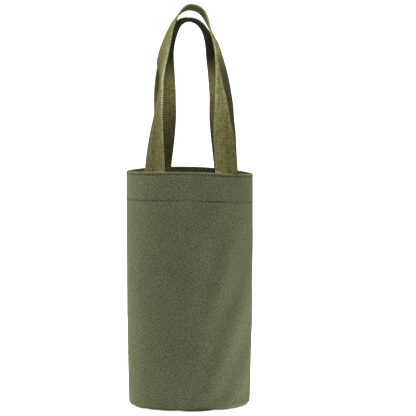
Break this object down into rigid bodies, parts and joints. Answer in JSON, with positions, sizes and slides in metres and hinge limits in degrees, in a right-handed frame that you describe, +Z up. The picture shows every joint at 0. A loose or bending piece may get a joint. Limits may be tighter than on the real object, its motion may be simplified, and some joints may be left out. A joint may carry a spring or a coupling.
{
  "type": "bottle carrier",
  "caption": "Upright round canvas bottle carrier with a deep turned hem, a flat round base and two webbing loop handles that fold over the rim.",
  "frame": {"origin": "centre of the round base, on the surface that the carrier stands on", "axes": "+Z up along the body, -Y to the front, +X to the right as seen from the front"},
  "size_m": [0.1108, 0.1173, 0.3484],
  "materials": {
    "canvas": "matt olive plain-weave cotton canvas",
    "webbing": "khaki ribbed flat webbing with a soft sheen",
    "binding_tape": "olive twill tape",
    "thread": "dark olive-brown sewing thread"
  },
  "bodies": {
    "bag": {"body_panel": "canvas", "base_disc": "canvas", "base_seam_binding": "binding_tape", "side_seam_binding": "binding_tape", "top_edge_stitches": "thread", "hem_stitches": "thread", "base_seam_stitches": "thread", "side_seam_stitches": "thread", "front_left_strap_tack": "thread", "front_right_strap_tack": "thread", "back_left_strap_tack": "thread", "back_right_strap_tack": "thread", "front_left_strap_end": "webbing", "front_right_strap_end": "webbing", "back_left_strap_end": "webbing", "back_right_strap_end": "webbing"},
    "front_handle": {"front_handle_loop": "webbing"},
    "back_handle": {"back_handle_loop": "webbing"}
  },
  "joints": [
    {"name": "front_handle_fold", "type": "hinge", "parent": "bag", "child": "front_handle", "pos_m": [0, -0.04147, 0.213], "axis": [1, 0, 0], "range_deg": [-9, 135], "deforming": ["front_left_strap_end", "front_right_strap_end"]},
    {"name": "back_handle_fold", "type": "hinge", "parent": "bag", "child": "back_handle", "pos_m": [0, 0.04147, 0.213], "axis": [-1, 0, 0], "range_deg": [-10, 120], "deforming": ["back_left_strap_end", "back_right_strap_end"]}
  ]
}
